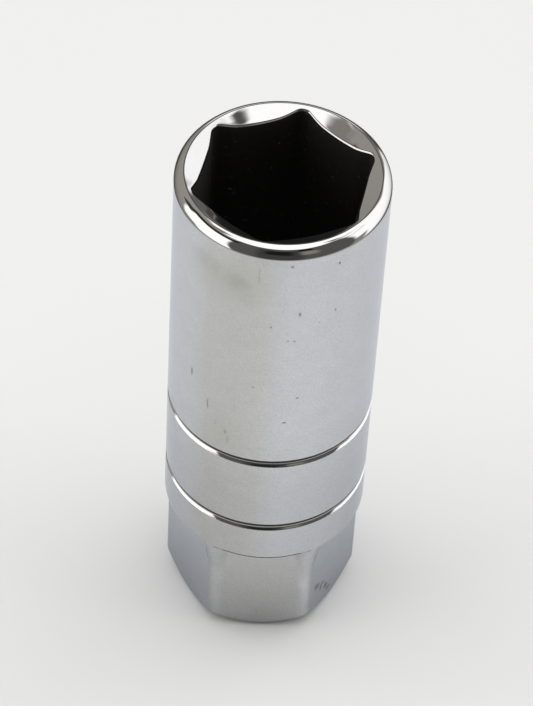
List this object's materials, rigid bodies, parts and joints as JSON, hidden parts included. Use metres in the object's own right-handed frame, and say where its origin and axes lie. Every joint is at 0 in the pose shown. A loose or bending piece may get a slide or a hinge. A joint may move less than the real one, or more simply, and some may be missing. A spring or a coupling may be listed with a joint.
{
  "type": "spark plug socket",
  "caption": "Deep round socket with a relieved hexagon mouth, grooved body, hexagonal drive end with square drive, and a rubber plug-gripping insert.",
  "frame": {"origin": "centre of the flat end face of the drive end, on the socket's axis", "axes": "+Z along the socket's axis from the drive end to the plug opening; +Y and -Y square to two flats of the drive hexagon"},
  "size_m": [0.022, 0.022, 0.063],
  "materials": {
    "chrome_plated_steel": "satin chrome plate over turned steel, with a brighter polished rim",
    "black_rubber": "matt moulded rubber"
  },
  "bodies": {
    "root": {"socket_body": "chrome_plated_steel", "rubber_insert": "black_rubber"}
  },
  "joints": []
}
